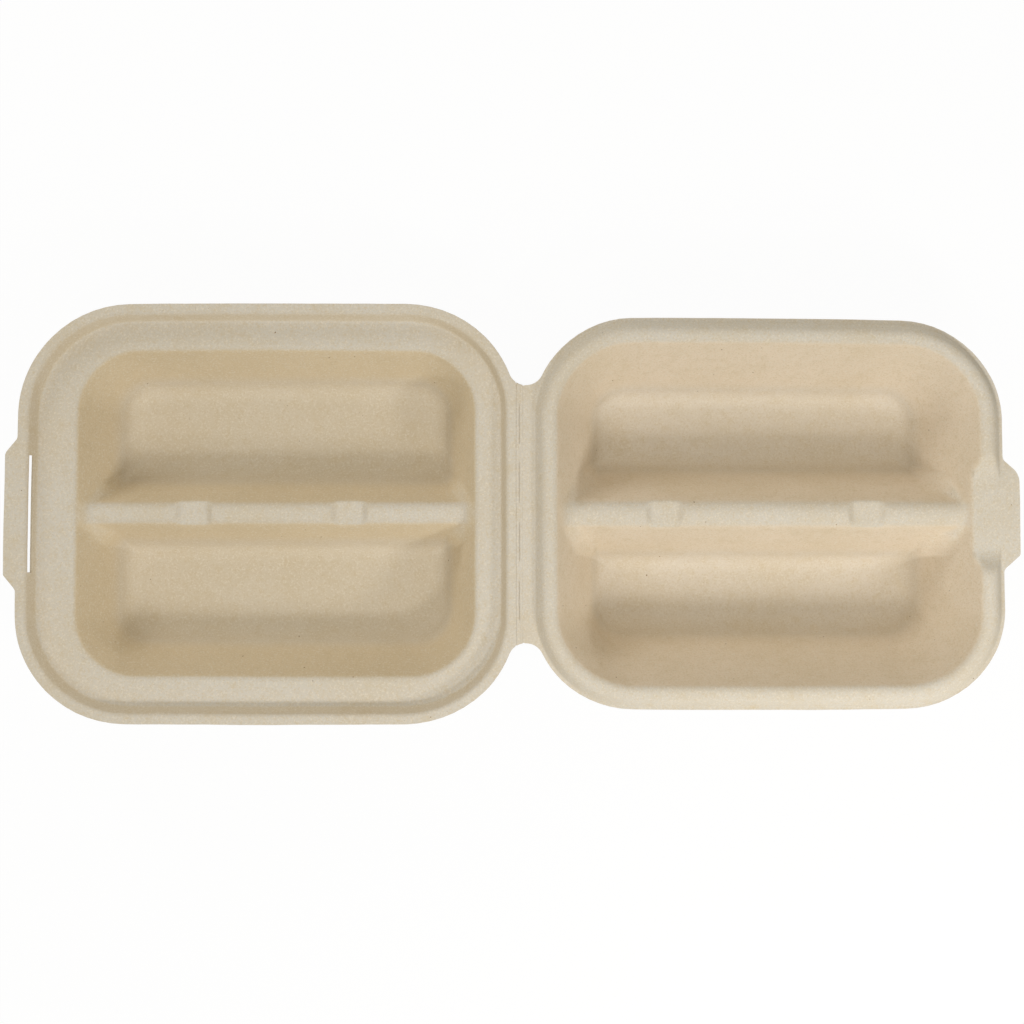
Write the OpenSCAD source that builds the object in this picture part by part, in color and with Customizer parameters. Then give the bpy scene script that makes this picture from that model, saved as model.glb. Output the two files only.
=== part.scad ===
// Hinged take-out box of moulded plant fibre, lying open: a lid tray and a base tray, each with two
// troughs and a ridge between them, joined along a scored hinge strip.
// Both trays are drawn in one local frame: x runs away from the score line, y along it, z is up.
// A tray's sheet is what lies between the air over it and the same air moved into the sheet by the wall.

/* [Sheet] */
// Thickness of the moulded sheet
wall = 1; // [0.7:0.1:1.3]
// Height of the flat flange over the table
flange_z = 38; // [32:0.5:44]
// Angle of trough walls and ridge sides from the vertical
draft = 24.5; // [18:0.5:27]
// Round between a trough's wall and its floor
floor_round = 8; // [4:0.5:8.5]
// Round over the upper edges of wells and bead
edge_round = 2; // [1.5:0.1:2.5]
// Round over the crown of a ridge
ridge_round = 4.5; // [3:0.1:5]

/* [Base tray] */
// Length of the base outline, away from the hinge
base_len = 178.4; // [165:0.2:195]
// Width of the base outline
base_w = 148; // [138:0.5:158]
// Corner radius of the base outline
base_corner = 38; // [34:0.5:44]
// Gap from the score line to the base outline
base_gap = 4.7; // [4:0.1:6]
// Flat lip outside the bead
base_lip = 1.3; // [1:0.1:2]
// Width of the bead, from its foot to the edge of the well
bead_w = 7.8; // [7:0.1:9]
// Height of the bead over the flange
bead_h = 5; // [4:0.1:5.3]
// Width that the bead's outer slope takes up
bead_slope = 2.6; // [2:0.1:3]
// Drop from the flange to the top of the base ridge
base_ridge_drop = 3; // [1.5:0.1:5]
// Width of the base ridge's flat top
base_ridge_w = 8.3; // [7:0.1:10]
// Distance from the score line to the middle of the base notch near the hinge
base_notch_near = 55.5; // [48:0.5:64]
// Distance from the score line to the middle of the base notch near the tongue
base_notch_far = 132.5; // [124:0.5:140]

/* [Lid tray] */
// Length of the lid outline, away from the hinge
lid_len = 189.4; // [184:0.2:205]
// Width of the lid outline
lid_w = 159.5; // [156:0.5:172]
// Corner radius of the lid outline
lid_corner = 42; // [38:0.5:46]
// Gap from the score line to the lid outline
lid_gap = 1; // [0.6:0.1:1.5]
// Width of the flat lip
lid_lip = 3.8; // [3:0.1:4.2]
// Drop from the lip to the plateau
riser_h = 6.2; // [6:0.1:8]
// Width that the riser takes up
riser_run = 2.2; // [1.5:0.1:2.5]
// Round between the riser and the plateau
riser_foot = 1.5; // [1:0.1:2]
// Plateau width next to the hinge
plateau_hinge = 9.8; // [8:0.1:12]
// Plateau width at the slot end
plateau_far = 14.4; // [11:0.1:16]
// Plateau width along the sides
plateau_side = 11; // [9:0.1:13]
// Corner radius of the edge of the lid well
lid_well_corner = 24; // [21:0.5:28]
// Drop from the plateau to the top of the lid ridge
lid_ridge_drop = 5.5; // [4:0.1:7]
// Width of the lid ridge's flat top
lid_ridge_w = 7.3; // [6.5:0.1:9]
// Distance from the score line to the middle of the lid notch near the hinge
lid_notch_near = 66; // [60:0.5:74]
// Distance from the score line to the middle of the lid notch near the slot
lid_notch_far = 126; // [116:0.5:132]

/* [Ridge notches] */
// Length of a notch's floor along the ridge
notch_len = 11; // [9:0.5:14]
// Depth of a notch below the ridge top
notch_depth = 2.2; // [1.5:0.1:3]
// Slope of a notch's ends, from the vertical
notch_slope = 35; // [20:1:45]

/* [Lock] */
// Reach of the tongue past the base outline
tongue_out = 6.3; // [4:0.1:7]
// Width of the tongue at its root
tongue_root_w = 42.5; // [38:0.5:48]
// Round of the tongue's upper shoulder
tongue_round = 7; // [4:0.5:8]
// Width of the flat gap that the tongue leaves in the bead
gap_w = 33; // [30:0.5:36]
// Slope of the bead's ends beside the gap, from the vertical
bead_end_slope = 38; // [20:1:45]
// Chamfer of the shoulders of tongue and tab, along the edge
shoulder = 5.6; // [4:0.1:6.5]
// Round of the sharp lower shoulders
shoulder_round = 1; // [0.5:0.1:2]
// Round where the tongue or the tab meets the outline
root_round = 2.5; // [1:0.5:3]
// Reach of the tab past the lid outline
tab_out = 4.6; // [4:0.1:6]
// Width of the tab at its root
tab_root_w = 58; // [52:0.5:62]
// Round of the tab's upper shoulder
tab_round = 4; // [2:0.5:5]
// Length of the slot
slot_len = 45; // [42:0.5:46]
// Width of the slot
slot_w = 1.3; // [1.1:0.1:1.8]
// Tilt of the slot from the outline
slot_tilt = 1; // [0:0.2:2]

/* [Hinge] */
// Radius of the bays at the ends of the hinge strip
bay_r = 6.8; // [5:0.1:8]
// Depth of the scored line
score_depth = 0.35; // [0.2:0.05:0.5]

/* [Hidden] */
$fn = 96;
fibre = [0.79, 0.74, 0.66];
// Straight pieces in each rounded edge of a section
arc_steps = 4;
// Smallest round left on the hidden side of an edge
least_round = 0.1;
// How far the air over a tray reaches past its outline, over its floor and over its flange
reach = 16;
// How far the bays cut into the outlines they touch, so that the two cross
bay_bite = 0.05;
sky_z = flange_z + bead_h + 12;
below_z = -8;
slope = tan(draft);

bead_top = flange_z + bead_h;
base_run = (bead_top - wall) * slope;
base_ridge_top = flange_z - base_ridge_drop;
base_well_inset = base_lip + bead_w;
base_mid = base_gap + base_len / 2;
base_end = base_gap + base_len;

plateau_z = flange_z - riser_h;
lid_run = (plateau_z - wall) * slope;
lid_ridge_top = plateau_z - lid_ridge_drop;
lid_rim = lid_lip + riser_run;
lid_well_len = lid_len - 2 * lid_rim - plateau_hinge - plateau_far;
lid_well_w = lid_w - 2 * (lid_rim + plateau_side);
lid_well_start = lid_gap + lid_rim + plateau_hinge;
lid_mid = lid_gap + lid_len / 2;
lid_end = lid_gap + lid_len;
slot_x = lid_end - lid_lip - slot_w / 2;

// The part's origin lies under the middle of the open box
hinge_x = (lid_end + tab_out - base_end - tongue_out) / 2;

// Plane paths and sections
function unit(v) = v / norm(v);
function turn(a, b) = a.x * b.y - a.y * b.x;
function right_of(a, b) = let (t = unit(b - a)) [t.y, -t.x];

// The arc of radius r that rounds corner b between a and c
function corner_arc(a, b, c, r) =
    let (u = unit(a - b), v = unit(c - b), half = acos(u * v) / 2,
         mid = b + unit(u + v) * r / sin(half), first = b + u * r / tan(half) - mid,
         from = atan2(first.y, first.x), sweep = sign(turn(b - a, c - b)) * (180 - 2 * half))
    [for (k = [0:arc_steps]) let (at = from + sweep * k / arc_steps) mid + r * [cos(at), sin(at)]];

function rounded_path(pts, radii) =
    [for (i = [0:len(pts) - 1])
        each radii[i] == 0 ? [pts[i]] : corner_arc(pts[i - 1], pts[i], pts[i + 1], radii[i])];

// A path moved by d to its right, which is into the sheet
function moved(pts, d) =
    let (last = len(pts) - 1)
    [for (i = [0:last])
        let (a = right_of(pts[max(i - 1, 0)], pts[max(i, 1)]),
             b = right_of(pts[min(i, last - 1)], pts[min(i + 1, last)]))
        pts[i] + d * (a + b) / (1 + a * b)];

// The face of a sheet at depth d: outer rounds shrink with depth, inner ones grow
function sheet_face(pts, radii, d) =
    rounded_path(moved(pts, d),
        [for (i = [0:len(pts) - 1]) radii[i] == 0 ? 0
            : turn(pts[i] - pts[i - 1], pts[i + 1] - pts[i]) > 0 ? radii[i] + d
            : max(radii[i] - d, least_round)]);

// Centre of the circle of radius r that touches two circles, on the +y side
function touching_centre(c1, r1, c2, r2, r) =
    let (v = c2 - c1, apart = norm(v), a = ((r1 + r) ^ 2 - (r2 + r) ^ 2 + apart ^ 2) / (2 * apart))
    c1 + v * a / apart + sqrt((r1 + r) ^ 2 - a ^ 2) * [-v.y, v.x] / apart;

// The air over a section, swept round a rounded rectangle; the face runs inwards as [inset, z]
module swept_air(size_x, size_y, corner, face) {
    half = concat([for (p = face) [corner - p.x, p.y]], [[0, sky_z], [corner - face[0].x, sky_z]]);
    run_x = size_x - 2 * corner;
    run_y = size_y - 2 * corner;
    quarters = [[1, 1], [-1, 1], [-1, -1], [1, -1]];
    for (q = [0:3])
        translate([quarters[q].x * run_x / 2, quarters[q].y * run_y / 2, 0])
            rotate(90 * q) rotate_extrude(angle = 90) polygon(half);
    for (side = [0, 1]) {
        mirror([side, 0, 0]) translate([run_x / 2, 0, 0])
            rotate([90, 0, 0]) linear_extrude(run_y, center = true) polygon(half);
        mirror([0, side, 0]) translate([0, run_y / 2, 0])
            rotate([90, 0, 90]) linear_extrude(run_x, center = true) polygon(half);
    }
    translate([-run_x / 2, -run_y / 2, face[len(face) - 1].y])
        cube([run_x, run_y, sky_z - face[len(face) - 1].y]);
}

// What lies under a hat-shaped face at depth d, drawn along x from x0 to x1
module hat_form(x0, x1, pts, radii, d) {
    face = sheet_face(pts, radii, d);
    last = face[len(face) - 1];
    translate([x0, 0, 0]) rotate([90, 0, 90]) linear_extrude(x1 - x0)
        polygon(concat(face, [[last.x, below_z], [face[0].x, below_z]]));
}

// The ridge between two troughs, from end wall to end wall
module ridge_form(x0, x1, top, top_w, d) {
    foot = top_w / 2 + (top - wall) * slope;
    flat = foot + floor_round;
    hat_form(x0, x1,
        [[-flat, wall], [-foot, wall], [-top_w / 2, top], [top_w / 2, top], [foot, wall], [flat, wall]],
        [0, floor_round, ridge_round, ridge_round, floor_round, 0], d);
}

// The air in a trapezoid opening at depth d, drawn along x: flat_w wide at floor_z, with sides that lean out
module trough_air(x0, x1, flat_w, floor_z, lean, d) {
    rise = sky_z - floor_z;
    side = flat_w / 2 + rise * tan(lean);
    translate([x0, 0, 0]) rotate([90, 0, 90]) linear_extrude(x1 - x0)
        polygon(sheet_face([[-side, sky_z], [-flat_w / 2, floor_z], [flat_w / 2, floor_z], [side, sky_z]],
            [0, edge_round / 2, edge_round / 2, 0], d));
}

// A shallow notch across the ridge
module notch_air(mid, ridge_top, ridge_w, d) {
    half = ridge_w / 2 + floor_round;
    translate([mid, 0, 0]) rotate(90) trough_air(-half, half, notch_len, ridge_top - notch_depth, notch_slope, d);
}

// Plan shapes
module rounded_plan(size_x, size_y, corner) {
    square([size_x, size_y - 2 * corner], center = true);
    square([size_x - 2 * corner, size_y], center = true);
    for (sx = [-1, 1], sy = [-1, 1])
        translate([sx * (size_x / 2 - corner), sy * (size_y / 2 - corner)]) circle(corner);
}

// A tongue or tab that stands out past x by out, with a well rounded upper shoulder
module ear_plan(x, out, root_w, upper_round) {
    side = root_w / 2;
    wide = side + 2 * root_round;
    polygon(rounded_path(
        [[x - out, -wide], [x, -wide], [x, -side], [x + out, shoulder - side],
         [x + out, side - shoulder], [x, side], [x, wide], [x - out, wide]],
        [0, 0, root_round, shoulder_round, upper_round, root_round, 0, 0]));
}

// One half of the hinge strip, between the two outlines' corners; side is 1 for the base, -1 for the lid
lid_arc = [-lid_gap - lid_corner, lid_w / 2 - lid_corner];
base_arc = [base_gap + base_corner, base_w / 2 - base_corner];
bay = touching_centre(lid_arc, lid_corner, base_arc, base_corner, bay_r);
lid_touch = lid_arc + (bay - lid_arc) * lid_corner / (lid_corner + bay_r);
base_touch = base_arc + (bay - base_arc) * base_corner / (base_corner + bay_r);
module hinge_strip_plan(side) {
    touch = side > 0 ? base_touch : lid_touch;
    difference() {
        translate([0, -touch.y]) square([side * touch.x, 2 * touch.y]);
        for (end = [-1, 1]) translate([side * bay.x, end * bay.y]) circle(bay_r + bay_bite);
    }
}

// The scored fold line on the strip
module score_cut() {
    rotate([90, 0, 0]) linear_extrude(lid_w, center = true)
        translate([0, flange_z]) rotate(45) square(score_depth * sqrt(2), center = true);
}

// The base tray
module base_air(d) {
    well_edge = base_well_inset;
    face = sheet_face(
        [[-reach, flange_z], [base_lip, flange_z], [base_lip + bead_slope, bead_top], [well_edge, bead_top],
         [well_edge + base_run, wall], [base_corner, wall]],
        [0, edge_round / 2, edge_round, edge_round, floor_round, 0], d);
    difference() {
        union() {
            translate([base_mid, 0, 0]) swept_air(base_len, base_w, base_corner, face);
            trough_air(base_end - well_edge - base_run, base_end + tongue_out, gap_w, flange_z, bead_end_slope, d);
        }
        difference() {
            ridge_form(base_gap + base_lip + bead_slope, base_end - base_lip - bead_slope,
                base_ridge_top, base_ridge_w, d);
            for (mid = [base_notch_near, base_notch_far])
                notch_air(mid, base_ridge_top, base_ridge_w, d);
        }
    }
}

module base() {
    color(fibre) translate([hinge_x, 0, 0]) difference() {
        intersection() {
            translate([0, 0, below_z / 2]) linear_extrude(bead_top + wall - below_z / 2) {
                translate([base_mid, 0]) rounded_plan(base_len, base_w, base_corner);
                ear_plan(base_end, tongue_out, tongue_root_w, tongue_round);
                hinge_strip_plan(1);
            }
            base_air(wall);
        }
        base_air(0);
        score_cut();
    }
}

// The lid tray
module lid_air(d) {
    recess = sheet_face(
        [[-reach, flange_z], [lid_lip, flange_z], [lid_rim, plateau_z], [lid_corner, plateau_z]],
        [0, edge_round, riser_foot, 0], d);
    well = sheet_face(
        [[-plateau_hinge / 2, bead_top], [-plateau_hinge / 2, plateau_z], [0, plateau_z],
         [lid_run, wall], [lid_well_corner, wall]],
        [0, 0, edge_round, floor_round, 0], d);
    difference() {
        union() {
            translate([lid_mid, 0, 0]) swept_air(lid_len, lid_w, lid_corner, recess);
            translate([lid_well_start + lid_well_len / 2, 0, 0])
                swept_air(lid_well_len, lid_well_w, lid_well_corner, well);
        }
        difference() {
            ridge_form(lid_well_start - plateau_hinge / 2, lid_well_start + lid_well_len + plateau_hinge / 2,
                lid_ridge_top, lid_ridge_w, d);
            for (mid = [lid_notch_near, lid_notch_far])
                notch_air(mid, lid_ridge_top, lid_ridge_w, d);
        }
    }
}

module lid() {
    color(fibre) translate([hinge_x, 0, 0]) mirror([1, 0, 0]) difference() {
        intersection() {
            translate([0, 0, below_z / 2]) linear_extrude(flange_z + wall - below_z / 2) {
                translate([lid_mid, 0]) rounded_plan(lid_len, lid_w, lid_corner);
                ear_plan(lid_end, tab_out, tab_root_w, tab_round);
                hinge_strip_plan(-1);
            }
            lid_air(wall);
        }
        lid_air(0);
        score_cut();
        translate([slot_x, 0, 0]) rotate(slot_tilt)
            translate([-slot_w / 2, -slot_len / 2, 0]) cube([slot_w, slot_len, sky_z]);
    }
}

base();
lid();
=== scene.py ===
"""Looks of a hinged take-out box of moulded plant fibre, lying open on a table."""

import math
from bisect import bisect_right

import bmesh
import bpy
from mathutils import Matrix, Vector, noise


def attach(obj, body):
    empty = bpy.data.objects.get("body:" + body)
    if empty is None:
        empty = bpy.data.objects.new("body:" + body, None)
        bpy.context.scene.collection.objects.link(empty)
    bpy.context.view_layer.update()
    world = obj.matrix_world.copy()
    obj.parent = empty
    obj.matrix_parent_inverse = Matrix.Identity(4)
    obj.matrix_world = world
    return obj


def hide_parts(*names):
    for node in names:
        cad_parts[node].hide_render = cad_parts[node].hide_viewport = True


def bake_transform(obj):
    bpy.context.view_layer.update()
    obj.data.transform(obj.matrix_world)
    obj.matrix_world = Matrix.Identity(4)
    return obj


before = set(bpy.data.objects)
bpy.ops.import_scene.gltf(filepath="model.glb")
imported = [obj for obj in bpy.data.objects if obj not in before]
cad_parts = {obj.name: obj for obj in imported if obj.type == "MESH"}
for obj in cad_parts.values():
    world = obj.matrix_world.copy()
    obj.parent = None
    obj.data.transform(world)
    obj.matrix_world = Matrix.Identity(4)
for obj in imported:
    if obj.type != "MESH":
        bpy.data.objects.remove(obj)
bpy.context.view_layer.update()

bl_info = {
    "name": "Moulded fibre taco box",
    "version": (1, 0, 0),
    "blender": (4, 5, 0),
    "location": "3D View > Sidebar > Taco Box",
    "description": "Builds the pressed sheet of a hinged take-out box, its fibre finish and a studio stage",
    "category": "Object",
}


def mm(label, value, description):
    return bpy.props.FloatProperty(name=label, description=description, default=value / 1000, min=0.0, unit="LENGTH",
                                   precision=5)


def degrees(label, value, description):
    return bpy.props.FloatProperty(name=label, description=description, default=math.radians(value), subtype="ANGLE")


def linear(code):
    """Linear colour of an sRGB hex value."""
    parts = [int(code[i:i + 2], 16) / 255 for i in (0, 2, 4)]
    return [c / 12.92 if c <= 0.04045 else ((c + 0.055) / 1.055) ** 2.4 for c in parts]


def hex_colour(label, code, description):
    return bpy.props.FloatVectorProperty(name=label, description=description, default=linear(code), size=3, min=0.0,
                                         max=1.0, subtype="COLOR")


def watts(label, value, description):
    return bpy.props.FloatProperty(name=label, description=description, default=value, min=0.0, unit="POWER")


class SheetSizes(bpy.types.PropertyGroup):
    """Sizes that both trays share"""
    wall: mm("Wall", 1, "Thickness of the pressed sheet")
    flange_z: mm("Flange height", 38, "Height of the flat flange over the table")
    draft: degrees("Draft", 24.5, "Angle of trough walls and ridge sides from the vertical")
    floor_round: mm("Floor round", 8, "Round between a trough's wall and its floor")
    edge_round: mm("Edge round", 2, "Round over the edge of the lid's lip, and half of it in the foot of the bead")
    ridge_flare: mm("Ridge flare", 9, "Reach of the round where the crown of a ridge runs into an end wall")
    flare_start: mm("Flare start", 2, "Half width of the band at the edge of a well where the flare sets in")
    flare_drop: mm("Flare drop", 12, "Drop from the ridge top over which the flare turns into the valley round")
    valley_round: mm("Valley round", 20, "Reach of the round where a ridge's side meets an end wall")
    valley_fade: mm("Valley fade", 9, "Height over the floor below which the valley round fades out")
    notch_len: mm("Notch length", 11, "Length of a notch's floor along the ridge")
    notch_depth: mm("Notch depth", 2.2, "Depth of a notch below the ridge top")
    notch_slope: degrees("Notch slope", 35, "Slope of a notch's ends, from the vertical")
    notch_foot: mm("Notch foot", 1.5, "Reach of the round in the foot of a notch's ends")
    notch_edge: mm("Notch edge", 1.2, "Reach of the round over a notch's edge")
    shoulder: mm("Shoulder", 5.6, "Chamfer of the shoulders of tongue and tab, along the edge")
    shoulder_round: mm("Shoulder round", 1, "Round of the lower shoulder of tongue and tab")
    root_round: mm("Root round", 2.5, "Round in the roots of tongue and tab")
    cut_edge: mm("Cut edge", 0.18, "Softening of the cut edges")
    bow: mm("Bow", 0.7, "How far the long sides bow in at both ends")
    unevenness: mm("Unevenness", 0.22, "How far the pressed sheet wanders from its mould")


class BaseSizes(bpy.types.PropertyGroup):
    """Sizes of the base tray, along the box from the score line"""
    length: mm("Length", 178.4, "Length of the outline, away from the hinge")
    width: mm("Width", 148, "Width of the outline")
    corner: mm("Corner", 38, "Corner radius of the outline")
    gap: mm("Gap", 4.7, "Gap from the score line to the outline")
    lip: mm("Lip", 1.3, "Flat lip outside the bead")
    bead_w: mm("Bead width", 7.8, "Width of the bead, from its foot to the edge of the well")
    bead_h: mm("Bead height", 5, "Height of the bead over the flange")
    bead_slope: mm("Bead slope", 3.2, "Width that the bead's outer slope takes up")
    bead_round: mm("Bead round", 4, "Round over the bead's outer edge")
    well_round: mm("Well round", 3.6, "Round over the bead's inner edge, into the well")
    ridge_drop: mm("Ridge drop", 3, "Drop from the flange to the ridge top")
    ridge_w: mm("Ridge width", 8.3, "Width of the ridge top")
    ridge_round: mm("Ridge round", 6.2, "Round over the crown of the ridge")
    notch_near: mm("Near notch", 55.5, "Distance from the score line to the notch near the hinge")
    notch_far: mm("Far notch", 132.5, "Distance from the score line to the notch near the tongue")
    tongue_out: mm("Tongue reach", 6.3, "Reach of the tongue past the outline")
    tongue_root: mm("Tongue root", 42.5, "Width of the tongue at its root")
    tongue_round: mm("Tongue round", 7, "Round of the tongue's upper shoulder")
    bead_break: mm("Bead break", 33, "Width of the flat break that the tongue leaves in the bead")
    bead_end: degrees("Bead end", 44, "Slope of the bead's ends beside the tongue, from the vertical")
    break_foot: mm("Break foot", 4, "Reach of the round in the foot of the bead's ends")
    break_edge: mm("Break edge", 3, "Reach of the round over the bead's ends")
    skew: mm("Skew", 1.1, "How far the back corner at the tongue's end leans towards the hinge")
    taper: mm("Taper", 1, "How far the back edge draws in from the hinge to the tongue")


class LidSizes(bpy.types.PropertyGroup):
    """Sizes of the lid tray, along the box from the score line"""
    length: mm("Length", 189.4, "Length of the outline, away from the hinge")
    width: mm("Width", 159.5, "Width of the outline")
    corner: mm("Corner", 42, "Corner radius of the outline")
    gap: mm("Gap", 1, "Gap from the score line to the outline")
    lip: mm("Lip", 3.8, "Width of the flat lip")
    riser_h: mm("Riser height", 6.2, "Drop from the lip to the plateau")
    riser_run: mm("Riser run", 2.2, "Width that the riser takes up")
    riser_foot: mm("Riser foot", 1.5, "Round between the riser and the plateau")
    plateau_hinge: mm("Hinge plateau", 9.8, "Plateau width next to the hinge")
    plateau_far: mm("Slot plateau", 14.4, "Plateau width at the slot end")
    plateau_side: mm("Side plateau", 11, "Plateau width along the sides")
    well_corner: mm("Well corner", 24, "Corner radius of the edge of the well")
    well_round: mm("Well round", 3, "Round over the edge of the well")
    ridge_drop: mm("Ridge drop", 5.5, "Drop from the plateau to the ridge top")
    ridge_w: mm("Ridge width", 7.3, "Width of the ridge top")
    ridge_round: mm("Ridge round", 4.5, "Round over the crown of the ridge")
    notch_near: mm("Near notch", 66, "Distance from the score line to the notch near the hinge")
    notch_far: mm("Far notch", 126, "Distance from the score line to the notch near the slot")
    tab_out: mm("Tab reach", 4.6, "Reach of the tab past the outline")
    tab_root: mm("Tab root", 58, "Width of the tab at its root")
    tab_round: mm("Tab round", 4, "Round of the tab's upper shoulder")
    slot_len: mm("Slot length", 45, "Length of the lock slot")
    slot_w: mm("Slot width", 1.3, "Width of the lock slot")
    skew: mm("Skew", 1.5, "How far the back corner at the slot's end leans towards the hinge")


class HingeSizes(bpy.types.PropertyGroup):
    """Sizes of the scored strip between the trays"""
    score_x: mm("Score line", 2.8, "Distance from the middle of the open box to the score line")
    bay_r: mm("Bay radius", 6.8, "Radius of the bays at the ends of the strip")
    band: mm("Band", 1.2, "Half width of the band that bends")
    score_w: mm("Score width", 0.4, "Half width of the pressed score line")
    score_depth: mm("Score depth", 0.12, "Depth of the pressed score line")
    score_wander: mm("Score wander", 0.06, "How far the score line's edges wander")
    wander_len: mm("Wander length", 1.4, "Length over which the score line's edges wander")
    slit_len: mm("Slit length", 15.5, "Length of each slit cut along the score line")
    slit_pitch: mm("Slit pitch", 22.3, "Distance between the middles of two slits")
    slit_shift: mm("Slit shift", 0.8, "How far the row of slits is off centre")
    slit_w: mm("Slit width", 0.16, "Half width of a slit")
    slit_floor: mm("Slit floor", 0.096, "Half width of a slit's floor")
    slit_end: mm("Slit end", 0.7, "Length over which a slit runs out")
    slit_depth: mm("Slit depth", 0.35, "Depth of a slit")


class FibreLook(bpy.types.PropertyGroup):
    """Colours and marks of the moulded fibre"""
    sheet: hex_colour("Sheet", "CFC9BE", "Colour of clean pressed fibre")
    # Painted shading: the lid's walls are coloured warmer for the bounce light in their shade, the base's walls paler
    # for the light on them
    lid_wall: hex_colour("Lid walls", "D6C6A9", "Colour of the lid's steep walls, rubbed warmer by the mould")
    base_wall: hex_colour("Base walls", "DED0BC", "Colour of the base's steep walls, rubbed paler by the mould")
    warm: hex_colour("Warm clouds", "C9B898", "Colour where the pulp kept more lignin")
    pale: hex_colour("Pale grain", "DDD4C4", "Colour of the palest fibres")
    fibre: hex_colour("Dark fibre", "A08A66", "Colour of short dark fibres")
    speck: hex_colour("Speck", "7A5A32", "Colour of bark specks")


class StageLook(bpy.types.PropertyGroup):
    """Light, floor and camera"""
    floor: hex_colour("Floor", "F4F4F2", "Colour of the table top")
    sky_tint: hex_colour("Sky tint", "FFF6DF", "Colour of the light from all round")
    sky: bpy.props.FloatProperty(name="Sky", description="Strength of the light from all round", default=0.35, min=0.0)
    key: watts("Key lamp", 0.53, "Power of the lamp in front of the base")
    low: watts("Low lamp", 0.40, "Power of the low lamp close in front of the base")
    top: watts("Top lamp", 4.6, "Power of the lamp high over the box")
    side: watts("Side lamp", 3.2, "Power of the lamp high in front of the lid")
    back: watts("Back lamp", 4.9, "Power of the low lamp behind the lid")
    camera_z: mm("Camera height", 563, "Height of the camera over the table")
    camera_y: mm("Camera offset", 15.9, "How far the camera stands behind the middle of the box")
    lens: bpy.props.FloatProperty(name="Lens", description="Focal length of the camera", default=48.8, min=1.0,
                                  unit="CAMERA")
    shift: bpy.props.FloatProperty(name="Shift", description="Shift of the frame, as a share of its width",
                                   default=-0.039)


class BoxSettings(bpy.types.PropertyGroup):
    """All sizes and looks of the take-out box"""
    sheet: bpy.props.PointerProperty(type=SheetSizes)
    base: bpy.props.PointerProperty(type=BaseSizes)
    lid: bpy.props.PointerProperty(type=LidSizes)
    hinge: bpy.props.PointerProperty(type=HingeSizes)
    fibre: bpy.props.PointerProperty(type=FibreLook)
    stage: bpy.props.PointerProperty(type=StageLook)


# Sections and heights, in metres. Along a tray, u runs away from the score line and y along it.

# How far the flange runs on outside an outline, for the tongue, the tab and the strip
OUTSIDE = 0.02
# Stands in for no reach, and the distance at which two vertices are one
TINY = 1e-6


def rounded_path(points, radii, steps):
    """The points of a section with each corner turned into an arc."""
    points = [Vector(p) for p in points]
    path = []
    for i, (b, r) in enumerate(zip(points, radii)):
        if not r:
            path.append(b)
            continue
        a, c = points[i - 1] - b, points[i + 1] - b
        a, c = a.normalized(), c.normalized()
        half = a.angle(c) / 2
        middle = b + (a + c).normalized() * (r / math.sin(half))
        start, end = b + a * (r / math.tan(half)) - middle, b + c * (r / math.tan(half)) - middle
        turn = start.angle_signed(end)
        for k in range(steps + 1):
            at = -turn * k / steps
            path.append(middle + Vector((start.x * math.cos(at) - start.y * math.sin(at),
                                         start.x * math.sin(at) + start.y * math.cos(at))))
    return path


class Section:
    """Height along a section, read between the points of its path."""

    def __init__(self, points, radii, steps=7):
        self.path = rounded_path(points, radii, steps)
        self.at = [p.x for p in self.path]

    def __call__(self, s):
        k = min(max(bisect_right(self.at, s), 1), len(self.at) - 1)
        a, b = self.path[k - 1], self.path[k]
        share = min(max((s - a.x) / max(b.x - a.x, 1e-9), 0), 1)
        return a.y + (b.y - a.y) * share


def soft_max(a, b, reach):
    """The larger of two heights, with a round of this reach where they meet."""
    near = max(reach - abs(a - b), 0) / reach
    return max(a, b) + near * near * reach / 4


def soft_min(a, b, reach):
    """The smaller of two heights, with a round of this reach where they meet."""
    return -soft_max(-a, -b, reach)


def fade(value, start, end):
    """Smooth share from 0 at start to 1 at end."""
    share = min(max((value - start) / (end - start), 0), 1)
    return share * share * (3 - 2 * share)


def inset(u, y, mid, length, width, corner):
    """Distance inwards from a rounded rectangle's outline."""
    over_u, over_y = abs(u - mid) - (length / 2 - corner), abs(y) - (width / 2 - corner)
    return corner - math.hypot(max(over_u, 0), max(over_y, 0)) - min(max(over_u, over_y), 0)


def ridge_section(sheet, tray, top):
    """Half of a ridge, from its crown down to the trough floor."""
    side = tray.ridge_w / 2
    foot = side + (top - sheet.wall) * math.tan(sheet.draft)
    return Section([(0, top), (side, top), (foot, sheet.wall), (foot + 2 * sheet.floor_round, sheet.wall)],
                   [0, tray.ridge_round, sheet.floor_round, 0])


def opening_height(offset, flat, floor, lean, soft):
    """Height of the sides of an opening with a flat floor and leaning sides."""
    return floor + soft_max(offset - flat / 2, 0, soft) / math.tan(lean)


def ridge_height(sheet, ridge, top, notches, u, y):
    """Height of a ridge with its notches."""
    height = ridge(abs(y))
    for at in notches:
        notch = opening_height(abs(u - at), sheet.notch_len, top - sheet.notch_depth, sheet.notch_slope,
                               sheet.notch_foot)
        height = soft_min(height, notch, sheet.notch_edge)
    return height


def joined(sheet, pan, crown, top, flare, spread):
    """A tray's pan and the ridge across it, with a round in the valley between them that fades out on the floor."""
    reach = sheet.valley_round + (flare - sheet.valley_round) * fade(max(pan, crown), top - sheet.flare_drop, top)
    reach *= fade(min(pan, crown), sheet.wall, sheet.wall + sheet.valley_fade)
    return soft_max(pan, crown - sheet.ridge_flare * (1 - spread), max(reach, TINY))


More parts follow.
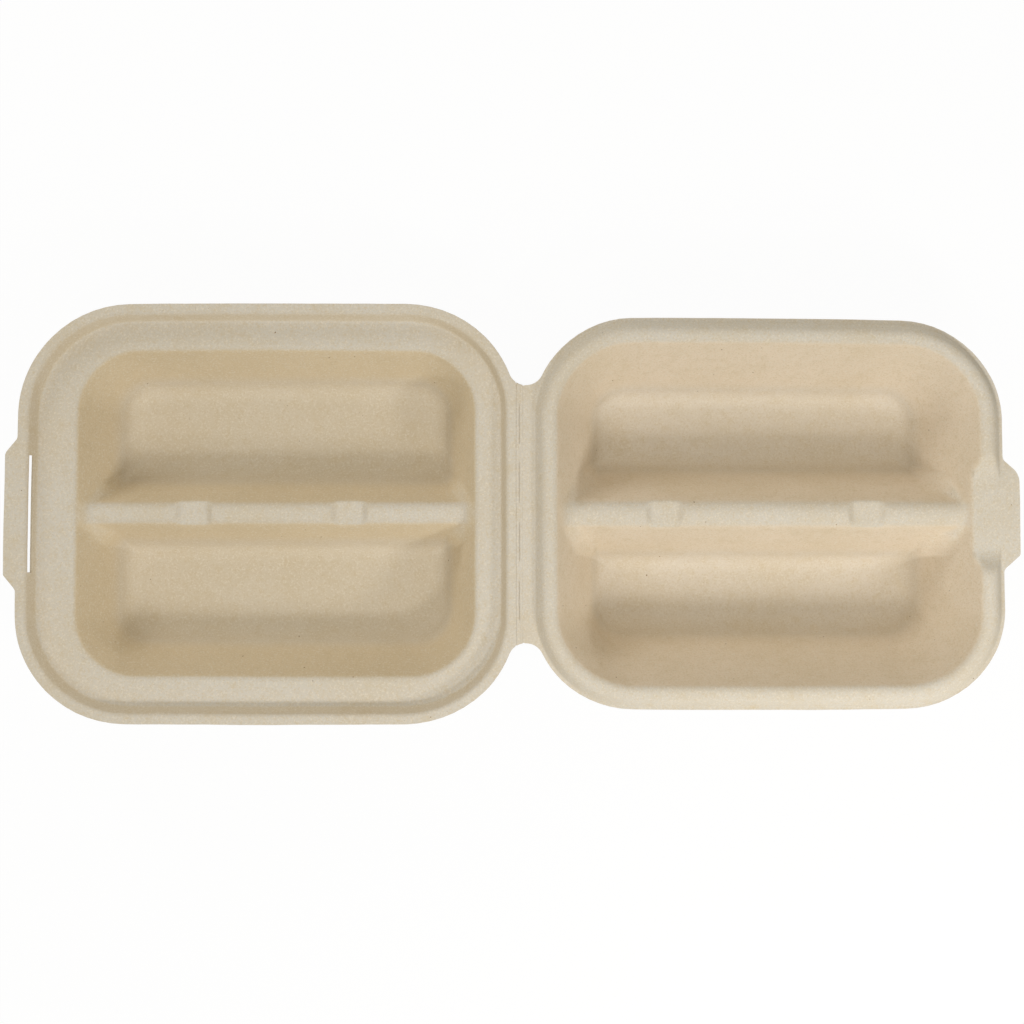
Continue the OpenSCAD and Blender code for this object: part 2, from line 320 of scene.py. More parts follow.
def base_profile(sheet, base):
    """Section of the base tray from outside its outline over the bead to the trough floor."""
    top, well = sheet.flange_z + base.bead_h, base.lip + base.bead_w
    run = (top - sheet.wall) * math.tan(sheet.draft)
    return Section([(-OUTSIDE, sheet.flange_z), (base.lip, sheet.flange_z), (base.lip + base.bead_slope, top),
                    (well, top), (well + run, sheet.wall), (base.corner, sheet.wall)],
                   [0, sheet.edge_round / 2, base.bead_round, base.well_round, sheet.floor_round, 0])


def base_height(sheet, base):
    """Height of the base tray's upper face over a point of its plan."""
    profile = base_profile(sheet, base)
    mid = base.gap + base.length / 2
    top = sheet.flange_z - base.ridge_drop
    ridge = ridge_section(sheet, base, top)
    well = base.lip + base.bead_w

    def height(u, y):
        inside = inset(u, y, mid, base.length, base.width, base.corner)
        pan = profile(inside)
        flare = sheet.ridge_flare
        if u > mid:
            flare = base.ridge_drop
            break_side = opening_height(abs(y), base.bead_break, sheet.flange_z, base.bead_end, base.break_foot)
            over = max(pan, break_side) - sheet.flange_z
            pan = soft_min(pan, break_side, max(base.break_edge * fade(over, 0, base.break_edge), TINY))
        crown = ridge_height(sheet, ridge, top, (base.notch_near, base.notch_far), u, y)
        return joined(sheet, pan, crown, top, flare, fade(inside - well, -sheet.flare_start, sheet.flare_start))
    return height


def lid_profiles(sheet, lid):
    """Sections of the lid tray: lip, riser and plateau from its outline, and the well from the well's edge."""
    plateau = sheet.flange_z - lid.riser_h
    rim = lid.lip + lid.riser_run
    run = (plateau - sheet.wall) * math.tan(sheet.draft)
    recess = Section([(-OUTSIDE, sheet.flange_z), (lid.lip, sheet.flange_z), (rim, plateau), (lid.corner, plateau)],
                     [0, sheet.edge_round, lid.riser_foot, 0])
    well = Section([(-lid.plateau_hinge / 2, plateau), (0, plateau), (run, sheet.wall), (lid.well_corner, sheet.wall)],
                   [0, lid.well_round, sheet.floor_round, 0])
    return recess, well


def lid_well(lid):
    """Middle, length and width of the lid's well."""
    rim = lid.lip + lid.riser_run
    length = lid.length - 2 * rim - lid.plateau_hinge - lid.plateau_far
    return lid.gap + rim + lid.plateau_hinge + length / 2, length, lid.width - 2 * (rim + lid.plateau_side)


def lid_height(sheet, lid):
    """Height of the lid tray's upper face over a point of its plan."""
    recess, well = lid_profiles(sheet, lid)
    mid = lid.gap + lid.length / 2
    well_mid, well_len, well_w = lid_well(lid)
    plateau = sheet.flange_z - lid.riser_h
    top = plateau - lid.ridge_drop
    ridge = ridge_section(sheet, lid, top)

    def height(u, y):
        down = recess(inset(u, y, mid, lid.length, lid.width, lid.corner))
        inside = inset(u, y, well_mid, well_len, well_w, lid.well_corner)
        if inside <= -lid.plateau_hinge / 2:
            return down
        pan = down + well(inside) - plateau
        crown = ridge_height(sheet, ridge, top, (lid.notch_near, lid.notch_far), u, y)
        return joined(sheet, pan, crown, top, sheet.ridge_flare, fade(inside, -sheet.flare_start, sheet.flare_start))
    return height


# The plan of the sheet: rings of points that step inwards from the cut edge

def graded(start, *stops):
    """Lines from start through each (count, end), evenly spaced in between."""
    lines = [start]
    for count, end in stops:
        first = lines[-1]
        lines += [first + (end - first) * k / count for k in range(1, count + 1)]
    return lines


def refine(steps, widest):
    """The steps of a section with further ones where two lie more than widest apart."""
    lines = [steps[0]]
    for end in steps[1:]:
        if end - lines[-1] > 1e-7:
            lines += graded(lines[-1], (max(1, math.ceil((end - lines[-1]) / widest)), end))[1:]
    return lines


def both_sides(half):
    """Lines from the middle outwards, with their mirror images before them."""
    return [-v for v in reversed(half[1:])] + half


def shares(lines):
    """Lines across a side as shares of its half length."""
    return [v / lines[-1] for v in lines]


# Shares of a quarter turn, closest beside the hinge and the lock, where the edge has bays and shoulders
FAN = graded(0, (18, 0.3), (5, 0.5), (7, 1))[1:-1]
# Lines across half a ridge, as counts and ends in metres: its flat crown, the round over it, its side and its foot
BASE_RIDGE_LINES = ((2, 0.0013), (8, 0.0054), (9, 0.0155), (16, 0.0235))
LID_RIDGE_LINES = ((2, 0.0011), (8, 0.0048), (8, 0.0139), (7, 0.0179))
# Metres that the lines over a notch's end take up, outside and inside its floor's end
NOTCH_OUT, NOTCH_IN = 0.0023, 0.0011
# Count of the lines over a notch's end and over its floor
END_LINES, FLOOR_LINES = 7, 6
# Rings of the mesh, in metres: width of the outermost one, and the widest steps on walls and on the lid's rim
EDGE_STRIP, WALL_STEP, RIM_STEP = 0.0004, 0.0009, 0.0012


def lines_along(flat_u, notches, counts, sheet):
    """Lines along a ridge, closest over the ends of its notches, with counts for the stretches between them."""
    rim, floor = sheet.notch_len / 2 + NOTCH_OUT, sheet.notch_len / 2 - NOTCH_IN
    stops = []
    for count, at in zip(counts, notches):
        stops += [(count, at - rim), (END_LINES, at - floor), (FLOOR_LINES, at + floor), (END_LINES, at + rim)]
    return shares(graded(-flat_u, *stops, (counts[-1], flat_u)))


def ring(mid, half_u, half_y, corner, along, across):
    """One ring of a rounded rectangle, counted from the lower end of its far side."""
    flat_u, flat_y = half_u - corner, half_y - corner

    def arc(u, y, quarter, fan):
        turns = [(quarter + share) * math.pi / 2 for share in fan]
        return [(u + corner * math.cos(t), y + corner * math.sin(t)) for t in turns]

    back = [1 - share for share in reversed(FAN)]
    return ([(mid + half_u, flat_y * s) for s in across] + arc(mid + flat_u, flat_y, 0, FAN)
            + [(mid + flat_u * s, half_y) for s in reversed(along)] + arc(mid - flat_u, flat_y, 1, back)
            + [(mid - half_u, flat_y * s) for s in reversed(across)] + arc(mid - flat_u, -flat_y, 2, FAN)
            + [(mid + flat_u * s, -half_y) for s in along] + arc(mid + flat_u, -flat_y, 3, back))


def ear_section(sheet, reach, root, upper_round):
    """How far a tongue or tab stands out, across its width."""
    side, wide = root / 2, root / 2 + 2 * sheet.root_round
    top = side - sheet.shoulder
    return Section([(-wide, 0), (-side, 0), (-top, reach), (top, reach), (side, 0), (wide, 0)],
                   [0, sheet.root_round, sheet.shoulder_round, upper_round, sheet.root_round, 0])


def bay_centre(hinge, base, lid):
    """Middle of the bay at the strip's upper end, as (towards the base, along the strip)."""
    c1, r1 = Vector((-lid.gap - lid.corner, lid.width / 2 - lid.corner)), lid.corner + hinge.bay_r
    c2, r2 = Vector((base.gap + base.corner, base.width / 2 - base.corner)), base.corner + hinge.bay_r
    v = c2 - c1
    along = (r1 ** 2 - r2 ** 2 + v.length_squared) / (2 * v.length)
    return c1 + v.normalized() * along + Vector((-v.y, v.x)).normalized() * math.sqrt(r1 ** 2 - along ** 2)


def trimmed_edge(points, tray, hinge, bay, ear):
    """The outermost ring, drawn out to the tongue or tab and to the band beside the score line."""
    mid, flat_y = tray.gap + tray.length / 2, tray.width / 2 - tray.corner
    centre = Vector((tray.gap + tray.corner, flat_y))
    touch = centre + (bay - centre) * tray.corner / (tray.corner + hinge.bay_r)
    limit = math.asin((touch.y - flat_y) / tray.corner)
    low = bay.y - math.sqrt(hinge.bay_r ** 2 - (hinge.band - bay.x) ** 2)
    first = math.atan2(low - bay.y, hinge.band - bay.x)
    sweep = math.atan2(touch.y - bay.y, touch.x - bay.x) - first
    straight, curved = low - flat_y, abs(sweep) * hinge.bay_r
    edge = []
    for u, y in points:
        side = math.copysign(1, y)
        if u > mid:
            edge.append((u + ear(y) * fade(u, mid, mid + tray.length * 0.4), y))
        elif abs(y) <= flat_y + 1e-7:
            edge.append((hinge.band, y))
        elif abs(y) < touch.y:
            gone = math.asin((abs(y) - flat_y) / tray.corner) / limit * (straight + curved)
            if gone <= straight:
                edge.append((hinge.band, side * (flat_y + gone)))
            else:
                at = first + sweep * (gone - straight) / curved
                edge.append((bay.x + hinge.bay_r * math.cos(at), side * (bay.y + hinge.bay_r * math.sin(at))))
        else:
            edge.append((u, y))
    return edge


# Placing the sheet, with the small faults of a pressed one

# With a seed, the unevenness is the same each run
noise.seed_set(7)
# Its waves: size in metres and share
WAVES = ((0.035, 0.8), (0.009, 0.3))
# Where the faults set in: heights over the table in metres, and shares of a tray's length from the score line
UNEVEN_FROM, BOW_FROM, TAPER_FROM = (0.002, 0.012), (0.02, 0.2), (0.05, 0.4)
# Share of a tray's length past which they grow no more
FARTHEST = 1.1


def pressed(x, y, z, sheet, base, lid, hinge):
    """A point of the true mould form as the real sheet has it: a little skewed, bowed and uneven off the floors."""
    away = x - hinge.score_x
    tray = lid if away < 0 else base
    far = min(abs(away) / tray.length, FARTHEST)
    across = y / (tray.width / 2)
    skew = -math.copysign(tray.skew, away) * across * far
    bow = -sheet.bow * across * (2 * far - 1) ** 2 * fade(far, *BOW_FROM)
    taper = -base.taper * max(across, 0) * (2 * far - 1) * fade(far, *TAPER_FROM) if away > 0 else 0
    at = Vector((x, y, z))
    loose = fade(z, *UNEVEN_FROM) * sheet.unevenness
    wander = sum((noise.noise_vector(at / size) * share for size, share in WAVES), Vector((0, 0, 0)))
    return at + Vector((skew, bow + taper, 0)) + loose * wander


def keep(bm, name):
    """An object of a finished bmesh."""
    mesh = bpy.data.meshes.new(name)
    bm.to_mesh(mesh)
    bm.free()
    piece = bpy.data.objects.new(name, mesh)
    bpy.context.scene.collection.objects.link(piece)
    return piece


def finish_sheet(bm, name, sheet):
    """An object from a sheet's upper face, with its thickness and softened cut edges."""
    bm.normal_update()
    if sum(f.normal.z * f.calc_area() for f in bm.faces) < 0:
        bmesh.ops.reverse_faces(bm, faces=bm.faces)
    for face in bm.faces:
        face.smooth = True
    piece = keep(bm, name)
    solid = piece.modifiers.new("Sheet thickness", "SOLIDIFY")
    solid.thickness, solid.offset, solid.use_even_offset = sheet.wall, -1, True
    edge = piece.modifiers.new("Cut edge", "BEVEL")
    edge.width, edge.segments, edge.profile = sheet.cut_edge, 2, 0.5
    edge.limit_method, edge.angle_limit, edge.harden_normals = "ANGLE", math.radians(55), True
    return piece


# Painted shading, a warmer or paler colour on walls and floors that stands in for light and bounce light: half width of
# the band at the edge of a well where it sets in, in metres
PAINT_SOFT = 0.001
# Lean between which it sets in, as 1 less the height of the sheet's normal
PAINT_STEEP = (0.1, 0.45)
# Heights over the floor between which it comes in up a wall and goes out off a floor, in metres
PAINT_WALL, PAINT_FLOOR = (0.001, 0.014), (0.003, 0.013)
# Share of it that floors get
FLOOR_SHARE = 0.5
# Distances into a well between which an end wall gives way to the ridge, in metres
PAINT_END = (0.001, 0.006)


def painted_shading_share(normal, high):
    """Share of the painted shading: fully on steep walls, less towards their feet, and half on the floors."""
    steep = fade(1 - abs(normal.z), *PAINT_STEEP) * fade(high, *PAINT_WALL)
    return max(steep, FLOOR_SHARE * (1 - fade(high, *PAINT_FLOOR)))


def off_ridge(tray, y, inside):
    """0 on the crown of a tray's ridge, 1 beside it and on the end walls over it, from the distance into the well."""
    beside = fade(abs(y) - tray.ridge_w / 2, -PAINT_SOFT, PAINT_SOFT)
    return max(beside, 1 - fade(inside, *PAINT_END))


def press_sheet(name, rings, along, across, flats, height, place, sheet, walls, cut=None):
    """Extrudes the rings inwards from the cut edge, fills the middle and presses the sheet to its height.

    walls names the vertex attribute for the painted shading of the walls, and tells over the plan where it lies. cut
    numbers the ring that a slot reaches in to, and tells over the plan where the slot lies."""
    bm = bmesh.new()
    loop = bmesh.ops.create_circle(bm, segments=len(rings[0]), radius=1)["verts"]
    edges, waste = list(bm.edges), []
    for v, (u, y) in zip(loop, rings[0]):
        v.co = (u, y, 0)
    for k, points in enumerate(rings[1:], 1):
        made = bmesh.ops.extrude_edge_only(bm, edges=edges)["geom"]
        new = {g for g in made if isinstance(g, bmesh.types.BMVert)}
        loop = [next(e.other_vert(v) for e in v.link_edges if e.other_vert(v) in new) for v in loop]
        edges = [g for g in made if isinstance(g, bmesh.types.BMEdge) and set(g.verts) <= new]
        for v, (u, y) in zip(loop, points):
            v.co = (u, y, 0)
        if cut and k == cut[0]:
            strip = [g for g in made if isinstance(g, bmesh.types.BMFace)]
            waste = [f for f in strip if cut[1](*f.calc_center_median().xy)]
    mid, flat_u, flat_y = flats
    middle = bmesh.ops.create_grid(bm, x_segments=len(along) - 1, y_segments=len(across) - 1, size=1)["verts"]
    for v in middle:
        i = round((v.co.x + 1) / 2 * (len(along) - 1))
        j = round((v.co.y + 1) / 2 * (len(across) - 1))
        v.co = (mid + flat_u * along[i], flat_y * across[j], 0)
    bmesh.ops.delete(bm, geom=waste, context="FACES")
    bmesh.ops.remove_doubles(bm, verts=bm.verts, dist=TINY)
    # Vertex attribute for the painted shading, a colour that stands in for light and bounce light
    painted_shading_layer = bm.verts.layers.float.new(walls[0])
    for v in bm.verts:
        v[painted_shading_layer] = walls[1](v.co.x, v.co.y)
        v.co = place(v.co.x, v.co.y, height(v.co.x, v.co.y))
    bm.normal_update()
    for v in bm.verts:
        v[painted_shading_layer] *= painted_shading_share(v.normal, v.co.z - sheet.wall)
    return finish_sheet(bm, name, sheet)


def wear(piece, body, node=None):
    """Gives a piece the fibre and its place in the frame."""
    piece.data.materials.append(moulded_fibre(bpy.context.scene.taco_box.fibre))
    if body:
        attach(piece, body)
    if node:
        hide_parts(node)


# Materials

def put(tree, kind, settings=None, inputs=None, links=None):
    """Adds a node with its settings, socket values and incoming links."""
    made = tree.nodes.new(kind)
    for key, value in (settings or {}).items():
        setattr(made, key, value)
    for key, value in (inputs or {}).items():
        made.inputs[key].default_value = value
    for key, source in (links or {}).items():
        tree.links.new(source, made.inputs[key])
    return made


def per_mm(size):
    """Texture scale on Object coordinates for marks of this size in millimetres."""
    return 1000 / size


def moulded_fibre(look):
    """Unbleached plant pulp pressed hot in a steel mould: matt, finely grained, clouded in colour, with bark specks."""
    name = "moulded plant fibre"
    if name in bpy.data.materials:
        return bpy.data.materials[name]
    material = bpy.data.materials.new(name)
    material.use_nodes = True
    tree = material.node_tree
    shader = tree.nodes["Principled BSDF"]
    shader.inputs["IOR"].default_value = 1.47
    shader.inputs["Roughness"].default_value = 0.88
    shader.inputs["Specular IOR Level"].default_value = 0.25
    at = put(tree, "ShaderNodeTexCoord").outputs["Object"]
    # Painted shading: the steep walls of each tray get their own colour, warmer on the lid for its bounce light in
    # shade, paler on the base for the light on its walls
    colour = put(tree, "ShaderNodeRGB").outputs["Color"]
    colour.default_value = (*look.sheet, 1)
    for name, tint in (("lid_wall", look.lid_wall), ("base_wall", look.base_wall)):
        steep = put(tree, "ShaderNodeAttribute", {"attribute_name": name})
        colour = put(tree, "ShaderNodeMix", {"data_type": "RGBA"}, {7: (*tint, 1)},
                     {"Factor": steep.outputs["Fac"], 6: colour}).outputs[2]
    # Clouds of warmer pulp, mottling, then dark and pale grain: size in mm, detail, range of the noise, cover, colour.
    # Single fibres are finer than a pixel, so the grain is drawn coarser, as fine as it still shows.
    for size, detail, low, high, cover, tint in (
            (38, 2, 0.35, 0.75, 0.3, look.warm), (4.5, 3, 0.45, 0.8, 0.4, look.warm),
            (0.7, 2, 0.47, 0.69, 0.55, look.warm), (0.75, 2, 0.49, 0.72, 0.8, look.pale)):
        cloud = put(tree, "ShaderNodeTexNoise", inputs={"Scale": per_mm(size), "Detail": detail, "Roughness": 0.6},
                    links={"Vector": at})
        share = put(tree, "ShaderNodeMapRange", {"interpolation_type": "SMOOTHSTEP"},
                    {"From Min": low, "From Max": high, "To Max": cover}, {"Value": cloud.outputs["Fac"]})
        colour = put(tree, "ShaderNodeMix", {"data_type": "RGBA"}, {7: (*tint, 1)},
                     {"Factor": share.outputs["Result"], 6: colour}).outputs[2]
    # The fibres bend by up to this much, in metres
    bend = 0.0008
    wander = put(tree, "ShaderNodeTexNoise", inputs={"Scale": per_mm(4), "Detail": 1.0}, links={"Vector": at})
    # Short fibres lying three ways and bark specks of two sizes, one in some cells of a grid: size of the grid in mm,
    # stretch and turn of its cells, share of the cells, widest radius in a cell, cover, colour
    for size, stretch, turn, chosen, radius, cover, tint in (
            (1.6, 6, 0.5, 0.22, 0.10, 0.4, look.fibre), (1.7, 6, 1.5, 0.22, 0.10, 0.4, look.fibre),
            (1.8, 7, 2.5, 0.22, 0.10, 0.4, look.fibre), (2.2, 1, 0, 0.20, 0.10, 0.6, look.fibre),
            (5, 1, 0, 0.6, 0.08, 0.85, look.speck)):
        turned = put(tree, "ShaderNodeMapping", {"vector_type": "TEXTURE"},
                     {"Rotation": (0, 0, turn), "Scale": (stretch, 1, 1)}, {"Vector": at})
        bent = put(tree, "ShaderNodeVectorMath", {"operation": "MULTIPLY_ADD"}, {1: (bend, bend, bend)},
                   {0: wander.outputs["Color"], 2: turned.outputs["Vector"]})
        cells = put(tree, "ShaderNodeTexVoronoi", {"feature": "F1"}, {"Scale": per_mm(size), "Randomness": 1.0},
                    {"Vector": bent.outputs["Vector"]})
        pick = put(tree, "ShaderNodeSeparateColor", links={"Color": cells.outputs["Color"]})
        wide = put(tree, "ShaderNodeMapRange", inputs={"From Min": 1 - chosen, "To Max": radius},
                   links={"Value": pick.outputs["Red"]})
        left = put(tree, "ShaderNodeMath", {"operation": "SUBTRACT"},
                   links={0: wide.outputs["Result"], 1: cells.outputs["Distance"]})
        share = put(tree, "ShaderNodeMapRange", {"interpolation_type": "SMOOTHSTEP"},
                    {"From Max": radius * 0.5, "To Max": cover}, {"Value": left.outputs["Value"]})
        colour = put(tree, "ShaderNodeMix", {"data_type": "RGBA"}, {7: (*tint, 1)},
                     {"Factor": share.outputs["Result"], 6: colour}).outputs[2]
    tree.links.new(colour, shader.inputs["Base Color"])
    # Felted grain of half a millimetre over the slight lumps that the drying screen leaves: size in mm, strength, depth
    normal = None
    for size, strength, depth in ((3, 0.5, 0.0002), (0.55, 0.8, 0.0001)):
        relief = put(tree, "ShaderNodeTexNoise", inputs={"Scale": per_mm(size), "Detail": 2.0, "Roughness": 0.6},
                     links={"Vector": at})
        links = {"Height": relief.outputs["Fac"]}
        if normal:
            links["Normal"] = normal
        normal = put(tree, "ShaderNodeBump", inputs={"Strength": strength, "Distance": depth},
                     links=links).outputs["Normal"]
    tree.links.new(normal, shader.inputs["Normal"])
    return material


def shows_background(tree):
    """1 for the rays that show the background: straight to the camera, off a gloss or through glass."""
    path = put(tree, "ShaderNodeLightPath")
    shown = path.outputs["Is Camera Ray"]
    for ray in ("Is Glossy Ray", "Is Transmission Ray"):
        shown = put(tree, "ShaderNodeMath", {"operation": "ADD", "use_clamp": True},
                    links={0: shown, 1: path.outputs[ray]}).outputs["Value"]
    return shown


def studio_floor(colour):
    """A matt white table top that the camera sees as plain paper white with a faint shadow."""
    material = bpy.data.materials.new("matt white table top")
    material.use_nodes = True
    tree = material.node_tree
    shader = tree.nodes["Principled BSDF"]
    shader.inputs["Base Color"].default_value = (*colour, 1)
    shader.inputs["Roughness"].default_value = 0.9
    # The rest of the share shows the table under the lamps, and with it the shadow
    paper_white = 0.95
    glow = put(tree, "ShaderNodeEmission", inputs={"Color": (1, 1, 1, 1), "Strength": 1.0})
    share = put(tree, "ShaderNodeMath", {"operation": "MULTIPLY"}, {1: paper_white}, {0: shows_background(tree)})
    mix = put(tree, "ShaderNodeMixShader", links={0: share.outputs["Value"], 1: shader.outputs["BSDF"],
                                                  2: glow.outputs["Emission"]})
    tree.links.new(mix.outputs["Shader"], tree.nodes["Material Output"].inputs["Surface"])
    return material


def studio_sky(tint, strength):
    """Even light from all round, which the camera sees as plain white."""
    world = bpy.data.worlds.new("white studio")
    world.use_nodes = True
    tree = world.node_tree
    sky = tree.nodes["Background"]
    sky.inputs["Color"].default_value = (*tint, 1)
    sky.inputs["Strength"].default_value = strength
    white = put(tree, "ShaderNodeBackground", inputs={"Color": (1, 1, 1, 1), "Strength": 1.0})
    mix = put(tree, "ShaderNodeMixShader", links={0: shows_background(tree), 1: sky.outputs["Background"],
                                                  2: white.outputs["Background"]})
    tree.links.new(mix.outputs["Shader"], tree.nodes["World Output"].inputs["Surface"])
    return world


# Operators

class TACOBOX_OT_base_shell(bpy.types.Operator):
    """Press the base tray with its bead, troughs, notched ridge and tongue"""
    bl_idname = "tacobox.base_shell"
    bl_label = "Base tray"

    def execute(self, context):
        box = context.scene.taco_box
        sheet, base, lid, hinge = box.sheet, box.base, box.lid, box.hinge
        mid = base.gap + base.length / 2
        flat_u = base.length / 2 - base.corner
        flat_y = base.width / 2 - base.corner
        along = lines_along(flat_u, (base.notch_near - mid, base.notch_far - mid), (3, 36, 3), sheet)
        across = shares(both_sides(graded(0, *BASE_RIDGE_LINES, (8, flat_y))))
        steps = [0, EDGE_STRIP] + refine([s for s in base_profile(sheet, base).at if s > EDGE_STRIP], WALL_STEP)
        rings = [ring(mid, base.length / 2 - s, base.width / 2 - s, max(base.corner - s, 0), along, across)
                 for s in steps]
        ear = ear_section(sheet, base.tongue_out, base.tongue_root, base.tongue_round)
        rings[0] = trimmed_edge(rings[0], base, hinge, bay_centre(hinge, base, lid), ear)

        # Share of the painted shading over the base's plan: from the edge of the well inwards, none on the ridge's
        # crown
        def in_well(u, y):
            inside = inset(u, y, mid, base.length, base.width, base.corner) - base.lip - base.bead_w
            return off_ridge(base, y, inside) * fade(inside, -PAINT_SOFT, PAINT_SOFT)

        def place(u, y, z):
            return pressed(hinge.score_x + u, y, z, sheet, base, lid, hinge)

        piece = press_sheet("base_shell", rings, along, across, (mid, flat_u, flat_y), base_height(sheet, base), place,
                            sheet, ("base_wall", in_well))
        wear(piece, "base", "base")
        return {"FINISHED"}


class TACOBOX_OT_lid_shell(bpy.types.Operator):
    """Press the lid tray with its lip, plateau, troughs, notched ridge and slotted tab"""
    bl_idname = "tacobox.lid_shell"
    bl_label = "Lid tray"

    def execute(self, context):
        box = context.scene.taco_box
        sheet, base, lid, hinge = box.sheet, box.base, box.lid, box.hinge
        mid = lid.gap + lid.length / 2
        well_mid, well_len, well_w = lid_well(lid)
        flat_u, flat_y = well_len / 2 - lid.well_corner, well_w / 2 - lid.well_corner
        along = lines_along(flat_u, (lid.notch_near - well_mid, lid.notch_far - well_mid), (10, 26, 7), sheet)
        slot_end = lid.slot_len / 2 * flat_y / (lid.width / 2 - lid.corner)
        # Just past the tab's root
        tab_end = 0.032
        across = shares(both_sides(graded(0, *LID_RIDGE_LINES, (4, slot_end), (14, tab_end), (4, flat_y))))
        recess, well = lid_profiles(sheet, lid)
        # The slot is cut out between two rings, so points of the section close beside them are left out
        slot, close = (lid.lip, lid.lip + lid.slot_w), 0.00012
        rise = [s for s in recess.at[:-1] if s > EDGE_STRIP and min(abs(s - e) for e in slot) > close]
        steps = [0, EDGE_STRIP] + refine(sorted([*rise, *slot]), RIM_STEP)
        rings = [ring(mid, lid.length / 2 - s, lid.width / 2 - s, lid.corner - s, along, across) for s in steps]
        cut = steps.index(slot[1])
        deep = refine(well.at[1:], WALL_STEP)
        inner = [ring(well_mid, well_len / 2 - s, well_w / 2 - s, max(lid.well_corner - s, 0), along, across)
                 for s in deep]
        # The plateau, from the ring inside the riser to the one at the edge of the well
        count = 6
        for k in range(1, count):
            rings.append([(a + (c - a) * k / count, b + (d - b) * k / count)
                          for (a, b), (c, d) in zip(rings[len(steps) - 1], inner[0])])
        rings += inner
        ear = ear_section(sheet, lid.tab_out, lid.tab_root, lid.tab_round)
        bay = bay_centre(hinge, base, lid)
        rings[0] = trimmed_edge(rings[0], lid, hinge, Vector((-bay.x, bay.y)), ear)

        def in_slot(u, y):
            return u > mid and abs(y) < lid.slot_len / 2

        # Share of the painted shading over the lid's plan: half from the riser inwards, full in the well, none on the
        # ridge's crown
        def in_lip(u, y):
            riser = fade(inset(u, y, mid, lid.length, lid.width, lid.corner) - lid.lip, -PAINT_SOFT, PAINT_SOFT)
            inside = inset(u, y, well_mid, well_len, well_w, lid.well_corner)
            return off_ridge(lid, y, inside) * (riser + fade(inside, -2 * PAINT_SOFT, 0)) / 2

        def place(u, y, z):
            return pressed(hinge.score_x - u, y, z, sheet, base, lid, hinge)

        piece = press_sheet("lid_shell", rings, along, across, (well_mid, flat_u, flat_y), lid_height(sheet, lid),
                            place, sheet, ("lid_wall", in_lip), (cut, in_slot))
        wear(piece, "lid", "lid")
        return {"FINISHED"}


class TACOBOX_OT_hinge_strip(bpy.types.Operator):
    """Press the narrow scored band that joins the two trays, where the real box bends"""
    bl_idname = "tacobox.hinge_strip"
    bl_label = "Hinge strip"

    def execute(self, context):
        box = context.scene.taco_box
        sheet, base, lid, hinge = box.sheet, box.base, box.lid, box.hinge
        bay = bay_centre(hinge, base, lid)
        lines = both_sides(graded(0, (1, hinge.slit_floor), (1, hinge.slit_w), (1, hinge.score_w), (4, hinge.band)))
        count = 220
        bm = bmesh.new()
        made = bmesh.ops.create_grid(bm, x_segments=len(lines) - 1, y_segments=count, size=1)["verts"]
        for v in made:
            x = lines[round((v.co.x + 1) / 2 * (len(lines) - 1))]
            end = bay.y - math.sqrt(hinge.bay_r ** 2 - (x - bay.x) ** 2)
            y = v.co.y * end
            # Distance along the strip from the middle of the nearest of the four slits
            row = (y - hinge.slit_shift) / hinge.slit_pitch
            off = abs(row - (min(max(math.floor(row), -2), 1) + 0.5)) * hinge.slit_pitch
            groove = hinge.score_depth * (1 - fade(abs(x), 0, hinge.score_w))
            slit = hinge.slit_depth * (1 - fade(abs(x), hinge.slit_floor, hinge.slit_w))
            slit *= 1 - fade(off, hinge.slit_len / 2 - hinge.slit_end, hinge.slit_len / 2)
            ragged = hinge.score_wander * noise.noise(Vector((x, y, 0.3)) / hinge.wander_len)
            ragged *= 1 - fade(abs(x), hinge.score_w / 2, 2 * hinge.score_w)
            v.co = pressed(hinge.score_x + x + ragged, y, sheet.flange_z, sheet, base, lid, hinge)
            v.co.z -= groove + slit
        for face in bm.faces:
            face.smooth = True
        below = bmesh.ops.extrude_face_region(bm, geom=list(bm.faces), use_keep_orig=True)["geom"]
        under = [g for g in below if isinstance(g, bmesh.types.BMVert)]
        for v in under:
            v.co.z = sheet.flange_z - sheet.wall
        bmesh.ops.recalc_face_normals(bm, faces=bm.faces)
        piece = keep(bm, "hinge_strip")
        wear(piece, None)
        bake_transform(piece)
        return {"FINISHED"}


# Lamps, each named as its power is: place of the disk and its width, in metres
LAMPS = {"key": ((0.15, -0.35, 0.45), 0.06), "low": ((0.25, -0.26, 0.27), 0.06), "top": ((0, 0, 1.5), 0.5),
         "side": ((-0.55, -0.79, 1.15), 0.5), "back": ((-0.68, 1.18, 0.63), 0.5)}
LAMP_TARGET = Vector((0.02, 0, 0.02))


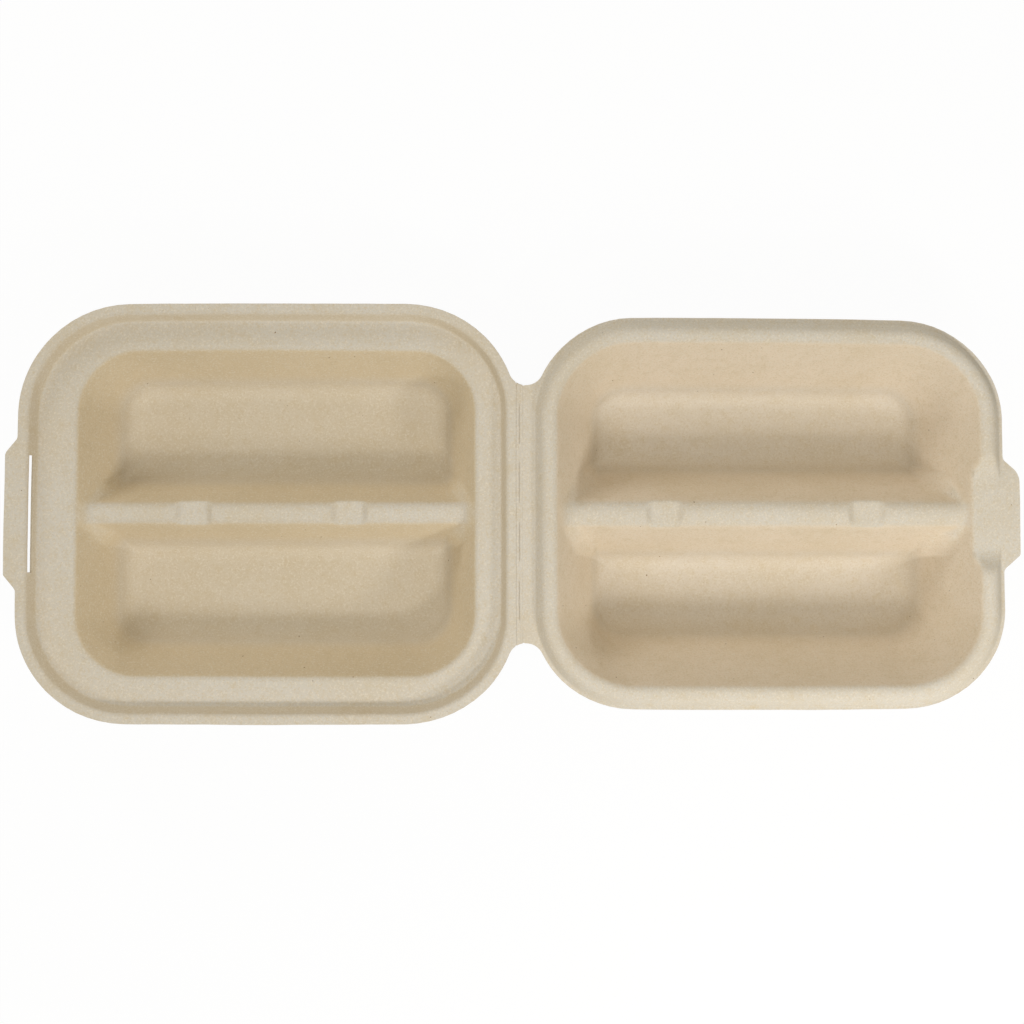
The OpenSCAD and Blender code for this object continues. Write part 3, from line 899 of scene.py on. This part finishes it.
class TACOBOX_OT_stage(bpy.types.Operator):
    """Set the table, the light and the camera"""
    bl_idname = "tacobox.stage"
    bl_label = "Stage"

    def execute(self, context):
        scene, stage = context.scene, context.scene.taco_box.stage
        bm = bmesh.new()
        bmesh.ops.create_grid(bm, x_segments=1, y_segments=1, size=6)
        table = keep(bm, "table")
        table.data.materials.append(studio_floor(stage.floor))
        scene.world = studio_sky(stage.sky_tint, stage.sky)
        for name, (place, size) in LAMPS.items():
            light = bpy.data.lights.new(name, "AREA")
            light.shape, light.size, light.energy = "DISK", size, getattr(stage, name)
            lamp = bpy.data.objects.new(name, light)
            lamp.location = place
            lamp.rotation_euler = (LAMP_TARGET - lamp.location).to_track_quat("-Z", "Y").to_euler()
            scene.collection.objects.link(lamp)
        lens = bpy.data.cameras.new("camera")
        lens.lens, lens.shift_y = stage.lens, stage.shift
        camera = bpy.data.objects.new("camera", lens)
        camera.location = (0, stage.camera_y, stage.camera_z)
        scene.collection.objects.link(camera)
        scene.camera = camera
        scene.view_settings.view_transform = "Standard"
        return {"FINISHED"}


class TACOBOX_PT_panel(bpy.types.Panel):
    """Sizes, looks and pieces of the take-out box"""
    bl_idname = "TACOBOX_PT_panel"
    bl_label = "Taco Box"
    bl_space_type = "VIEW_3D"
    bl_region_type = "UI"
    bl_category = "Taco Box"

    def draw(self, context):
        for operator in PIECES:
            self.layout.operator(operator.bl_idname)
        for group in ("sheet", "base", "lid", "hinge", "fibre", "stage"):
            settings = getattr(context.scene.taco_box, group)
            column = self.layout.column(heading=group.title())
            for key in settings.__annotations__:
                column.prop(settings, key)


PIECES = (TACOBOX_OT_base_shell, TACOBOX_OT_lid_shell, TACOBOX_OT_hinge_strip, TACOBOX_OT_stage)
CLASSES = (SheetSizes, BaseSizes, LidSizes, HingeSizes, FibreLook, StageLook, BoxSettings, *PIECES, TACOBOX_PT_panel)


def register():
    for cls in CLASSES:
        bpy.utils.register_class(cls)
    bpy.types.Scene.taco_box = bpy.props.PointerProperty(type=BoxSettings)


def unregister():
    del bpy.types.Scene.taco_box
    for cls in reversed(CLASSES):
        bpy.utils.unregister_class(cls)


def main():
    register()
    bpy.ops.tacobox.base_shell()
    bpy.ops.tacobox.lid_shell()
    bpy.ops.tacobox.hinge_strip()
    bpy.ops.tacobox.stage()


if __name__ == "__main__":
    main()
